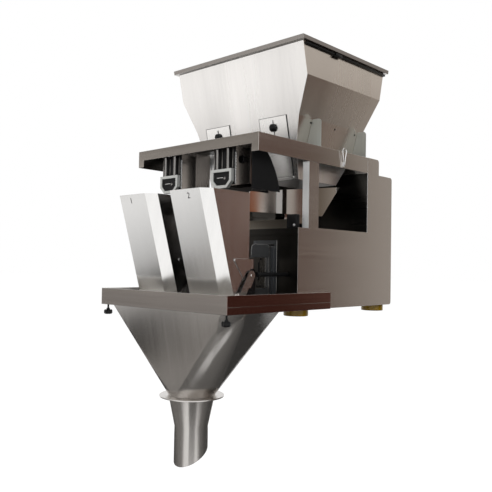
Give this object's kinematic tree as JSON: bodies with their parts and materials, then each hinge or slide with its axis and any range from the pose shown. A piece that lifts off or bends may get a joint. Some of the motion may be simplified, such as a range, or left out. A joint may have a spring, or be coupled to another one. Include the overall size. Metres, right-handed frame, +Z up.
{
  "type": "two-head linear weigher",
  "caption": "Linear weigher: storage hopper, vibrating pans, weigh buckets with bottom doors and a collecting funnel with a slanted outlet spout.",
  "frame": {"origin": "middle of the four feet, in the plane they stand on", "axes": "+Z up, the buckets and funnel towards -Y, +X to the right seen from the front"},
  "size_m": [0.5862, 0.8779, 1.2885],
  "materials": {
    "body_steel": "brushed stainless sheet, lengthwise grain",
    "top_frame_steel": "brushed stainless sheet",
    "hopper_steel": "bright brushed stainless, vertical grain",
    "pan_steel": "polished stainless",
    "housing_steel": "dark satin stainless",
    "yoke_aluminium": "bead-blasted aluminium",
    "bucket_steel": "satin stainless, vertical grain",
    "lever_black": "black oxide",
    "bright_steel": "polished",
    "collector_steel": "brushed stainless sheet",
    "knob_black": "black thermoset plastic",
    "foot_amber": "amber polyurethane",
    "casting_iron": "dark paint",
    "spring_black": "glass-fibre leaf",
    "cell_aluminium": "anodised"
  },
  "bodies": {
    "frame": {"side_plate_right": "body_steel", "side_plate_left": "body_steel", "base_plate": "body_steel", "deck": "body_steel", "front_panel": "body_steel", "rear_cover": "body_steel", "partition": "body_steel", "head_cover_right": "body_steel", "head_cover_left": "body_steel", "bucket_hanger_right": "body_steel", "bucket_hanger_left": "body_steel", "front_cover": "top_frame_steel", "rear_frame": "top_frame_steel", "gate_beam": "top_frame_steel", "gusset_front_right": "top_frame_steel", "gusset_front_left": "top_frame_steel", "gusset_rear_right": "top_frame_steel", "gusset_rear_left": "top_frame_steel", "storage_hopper": "hopper_steel", "hopper_divider": "hopper_steel", "gate_housing_right": "housing_steel", "gate_housing_left": "housing_steel", "weigh_bucket_right": "bucket_steel", "weigh_bucket_left": "bucket_steel", "latch_base_right": "bright_steel", "latch_base_left": "bright_steel", "collecting_tray": "collector_steel", "collecting_funnel": "collector_steel", "outlet_spout": "collector_steel", "power_gland": "knob_black", "foot_front_right": "foot_amber", "foot_front_left": "foot_amber", "foot_rear_right": "foot_amber", "foot_rear_left": "foot_amber", "vibrator_drive_right": "casting_iron", "vibrator_drive_left": "casting_iron", "leaf_spring_front_right": "spring_black", "leaf_spring_front_left": "spring_black", "leaf_spring_rear_right": "spring_black", "leaf_spring_rear_left": "spring_black", "load_cell_right": "cell_aluminium", "load_cell_left": "cell_aluminium"},
    "feeder_pan_right": {"feeder_pan_right": "pan_steel"},
    "gate_plate_right": {"gate_plate_right": "hopper_steel"},
    "gate_knob_right": {"gate_knob_right": "knob_black"},
    "feed_gate_right": {"feed_gate_yoke_right": "yoke_aluminium"},
    "bucket_door_right": {"bucket_door_right": "bucket_steel"},
    "door_lever_right": {"door_lever_right": "lever_black"},
    "door_plunger_right": {"door_plunger_right": "bright_steel"},
    "latch_bail_right": {"latch_bail_right": "bright_steel"},
    "tray_knob_right": {"tray_knob_right": "knob_black"},
    "feeder_pan_left": {"feeder_pan_left": "pan_steel"},
    "gate_plate_left": {"gate_plate_left": "hopper_steel"},
    "gate_knob_left": {"gate_knob_left": "knob_black"},
    "feed_gate_left": {"feed_gate_yoke_left": "yoke_aluminium"},
    "bucket_door_left": {"bucket_door_left": "bucket_steel"},
    "door_lever_left": {"door_lever_left": "lever_black"},
    "door_plunger_left": {"door_plunger_left": "bright_steel"},
    "latch_bail_left": {"latch_bail_left": "bright_steel"},
    "tray_knob_left": {"tray_knob_left": "knob_black"}
  },
  "joints": [
    {"name": "pan_shake_right", "type": "slide", "parent": "frame", "child": "feeder_pan_right", "axis": [0, -0.9397, 0.342], "range_m": [-0.0005, 0.0005], "stiffness_N_per_m": 100000},
    {"name": "gate_slide_right", "type": "slide", "parent": "frame", "child": "gate_plate_right", "axis": [0, -0.2202, 0.9755], "range_m": [-0.018, 0.03]},
    {"name": "gate_knob_turn_right", "type": "hinge", "parent": "frame", "child": "gate_knob_right", "pos_m": [0.1245, -0.21966, 0.5915], "axis": [0, -0.9755, -0.2202], "range_deg": [0, 180]},
    {"name": "feed_gate_lift_right", "type": "slide", "parent": "frame", "child": "feed_gate_right", "axis": [0, 0, 1], "range_m": [0, 0.022]},
    {"name": "door_swing_right", "type": "hinge", "parent": "frame", "child": "bucket_door_right", "pos_m": [0.119, -0.4115, 0.1228], "axis": [1, 0, 0], "range_deg": [0, 45]},
    {"name": "lever_swing_right", "type": "hinge", "parent": "frame", "child": "door_lever_right", "pos_m": [0.119, -0.4087, 0.0805], "axis": [1, 0, 0], "range_deg": [0, 10.6]},
    {"name": "plunger_push_right", "type": "slide", "parent": "frame", "child": "door_plunger_right", "axis": [0, -1, 0], "range_m": [0, 0.0088]},
    {"name": "latch_swing_right", "type": "hinge", "parent": "frame", "child": "latch_bail_right", "pos_m": [0.2763, -0.045, 0.477], "axis": [0, 1, 0], "range_deg": [0, 100]},
    {"name": "tray_knob_turn_right", "type": "hinge", "parent": "frame", "child": "tray_knob_right", "pos_m": [0.267, -0.561, -0.0035], "axis": [0, 0, 1], "range_deg": [0, 360]},
    {"name": "pan_shake_left", "type": "slide", "parent": "frame", "child": "feeder_pan_left", "axis": [0, -0.9397, 0.342], "range_m": [-0.0005, 0.0005], "stiffness_N_per_m": 100000},
    {"name": "gate_slide_left", "type": "slide", "parent": "frame", "child": "gate_plate_left", "axis": [0, -0.2202, 0.9755], "range_m": [-0.018, 0.03]},
    {"name": "gate_knob_turn_left", "type": "hinge", "parent": "frame", "child": "gate_knob_left", "pos_m": [-0.1245, -0.21966, 0.5915], "axis": [0, -0.9755, -0.2202], "range_deg": [0, 180]},
    {"name": "feed_gate_lift_left", "type": "slide", "parent": "frame", "child": "feed_gate_left", "axis": [0, 0, 1], "range_m": [0, 0.022]},
    {"name": "door_swing_left", "type": "hinge", "parent": "frame", "child": "bucket_door_left", "pos_m": [-0.119, -0.4115, 0.1228], "axis": [1, 0, 0], "range_deg": [0, 45]},
    {"name": "lever_swing_left", "type": "hinge", "parent": "frame", "child": "door_lever_left", "pos_m": [-0.119, -0.4087, 0.0805], "axis": [1, 0, 0], "range_deg": [0, 10.6]},
    {"name": "plunger_push_left", "type": "slide", "parent": "frame", "child": "door_plunger_left", "axis": [0, -1, 0], "range_m": [0, 0.0088]},
    {"name": "latch_swing_left", "type": "hinge", "parent": "frame", "child": "latch_bail_left", "pos_m": [-0.2763, -0.045, 0.477], "axis": [0, -1, 0], "range_deg": [0, 100]},
    {"name": "tray_knob_turn_left", "type": "hinge", "parent": "frame", "child": "tray_knob_left", "pos_m": [-0.267, -0.561, -0.0035], "axis": [0, 0, 1], "range_deg": [0, 360]}
  ],
  "couplings": [
    {"joint": "lever_swing_right", "follows": "door_swing_right", "ratio": 0.23},
    {"joint": "plunger_push_right", "follows": "door_swing_right", "m_per_rad": 0.0109},
    {"joint": "lever_swing_left", "follows": "door_swing_left", "ratio": 0.23},
    {"joint": "plunger_push_left", "follows": "door_swing_left", "m_per_rad": 0.0109}
  ]
}
